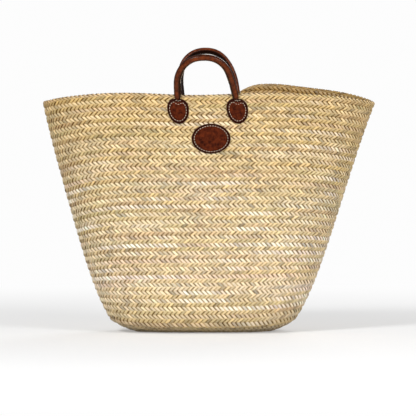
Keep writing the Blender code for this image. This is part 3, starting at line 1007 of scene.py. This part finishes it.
def add_seam(name, line, inner, inside):
    """Thread sewn through the inner side of the loop."""
    lifted = line + inner * (ROLL_RADIUS * SEAM_STANDOFF)
    runs = [(lifted[i:i + SEAM_PITCH], inner[i + 1])
            for i in range(inside[0], inside[-1] - SEAM_PITCH, SEAM_PITCH)]
    obj = dashes(f"{name}_handle_stitches", runs, STITCH_RADIUS, THREAD)
    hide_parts(f"{name}_handle_seam_thread")
    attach(obj, f"{name}_handle")


def add_rope(name, path, first, second, sides=8):
    """Three-strand rope inside the roll."""
    vertices, faces, start = [], [], 0
    turn = 2 * pi * np.arange(sides) / sides
    for strand in range(ROPE_STRANDS):
        phase = 2 * pi * (np.arange(len(path)) * ROLL_STEP / ROPE_LAY + strand / ROPE_STRANDS)
        beside = first * np.cos(phase)[:, None] + second * np.sin(phase)[:, None]
        centre = path + ROPE_STRAND_PLACE * beside
        ring = ring_points(centre, first, second, np.full((len(path), 1), ROPE_STRAND_RADIUS), turn)
        vertices.append(ring.reshape(-1, 3))
        faces += thread_faces(len(path), sides, start)
        start += len(path) * sides
    obj = new_object(f"{name}_handle_rope", np.concatenate(vertices), np.concatenate(faces), ROPE)
    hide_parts(f"{name}_handle_rope_core")
    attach(obj, f"{name}_handle")


def add_tabs(name, spec):
    side = spec["side"]
    legs = leg_hinges(spec)
    rim_height = (legs[0][2] + legs[1][2]) / 2 - HINGE_LIFT
    for label, leg in zip(("left", "right"), legs):
        centre = (leg[0], rim_height - TAB_DROP + TAB_RISE - TAB_HEIGHT / 2)
        plate = add_plate(f"{name}_{label}_leather_tab", tab_outline, STITCH_INSET, centre, side)
        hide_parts(f"{name}_{label}_tab")
        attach(plate, "root")
        thread = add_loop(f"{name}_{label}_tab_stitches", tab_outline, STITCH_INSET, centre, side)
        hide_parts(f"{name}_{label}_tab_stitching")
        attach(thread, "root")


def add_patch():
    plate = add_plate("oval_leather_patch", patch_outline, PATCH_INSET, PATCH_CENTRE, -1)
    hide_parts("oval_patch")
    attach(plate, "root")
    thread = add_loop("oval_patch_stitches", patch_outline, PATCH_INSET, PATCH_CENTRE, -1)
    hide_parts("oval_patch_stitching")
    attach(thread, "root")


# --- studio --------------------------------------------------------------------

def add_floor():
    material, tree, shader = start_material("studio_floor")
    shader.inputs["Base Color"].default_value = (0.92, 0.92, 0.92, 1)
    shader.inputs["Roughness"].default_value = 0.9
    place = node(tree, "ShaderNodeNewGeometry").outputs["Position"]
    away = node(tree, "ShaderNodeVectorMath", _operation="LENGTH", i0=place).outputs["Value"]
    glow = node(tree, "ShaderNodeEmission", Color=(1, 1, 1, 1), Strength=seen_and_cast(tree))
    fade = node(tree, "ShaderNodeMapRange", **{"Value": away, "From Min": 0.45, "From Max": 1.9,
                                               "To Min": 0.30})
    fade.interpolation_type = "SMOOTHSTEP"
    mixed = node(tree, "ShaderNodeMixShader", Fac=fade.outputs["Result"])
    tree.links.new(shader.outputs["BSDF"], mixed.inputs[1])
    tree.links.new(glow.outputs["Emission"], mixed.inputs[2])
    output = next(n for n in tree.nodes if n.type == "OUTPUT_MATERIAL")
    tree.links.new(mixed.outputs["Shader"], output.inputs["Surface"])
    half = FLOOR_HALF_SIZE
    corners = [(-half, -half, 0), (half, -half, 0), (half, half, 0), (-half, half, 0)]
    new_object("studio_floor", corners, [(0, 1, 2, 3)], material, smooth=False)


def add_light(name, place, target, size, power):
    data = bpy.data.lights.new(name, "AREA")
    data.shape = "DISK"
    data.size = size
    data.energy = power
    light = bpy.data.objects.new(name, data)
    bpy.context.scene.collection.objects.link(light)
    light.location = place
    light.rotation_euler = (Vector(target) - Vector(place)).to_track_quat("-Z", "Y").to_euler()


def seen_and_cast(tree):
    """Strength of the pale surroundings: as seen directly, and as the light they cast."""
    seen = node(tree, "ShaderNodeLightPath").outputs["Is Camera Ray"]
    return remap(tree, seen, 0.0, 1.0, CAST_LIGHT, SEEN_LIGHT)


def add_studio():
    world = bpy.data.worlds.new("studio")
    world.use_nodes = True
    background = world.node_tree.nodes["Background"]
    background.inputs["Color"].default_value = (1, 1, 1, 1)
    strength = seen_and_cast(world.node_tree)
    world.node_tree.links.new(strength, background.inputs["Strength"])
    bpy.context.scene.world = world
    bpy.context.scene.view_settings.view_transform = "Standard"
    add_floor()
    add_light("key", (-1.9, -3.1, 2.5), (0, 0, 0.2), 1.1, KEY_POWER)
    add_light("fill", (2.4, -2.9, 1.5), (0, 0, 0.2), 1.4, FILL_POWER)
    add_light("back", (1.2, 3.0, 2.0), (0, 0, 0.25), 1.8, BACK_POWER)


def add_camera():
    data = bpy.data.cameras.new("camera")
    data.lens = CAMERA_LENS
    data.sensor_width = 36.0
    data.clip_end = 200.0
    camera = bpy.data.objects.new("camera", data)
    bpy.context.scene.collection.objects.link(camera)
    back = CAMERA_DISTANCE * Vector((0, -cos(CAMERA_RISE), sin(CAMERA_RISE)))
    camera.location = CAMERA_TARGET + back
    camera.rotation_euler = (CAMERA_TARGET - camera.location).to_track_quat("-Z", "Y").to_euler()
    bpy.context.scene.camera = camera


for index in range(-BASE_COURSES, WALL_COURSES):
    add_course(index)
add_patch()
for name, spec in HANDLES.items():
    add_tabs(name, spec)
    add_handle(name, spec)
add_studio()
add_camera()
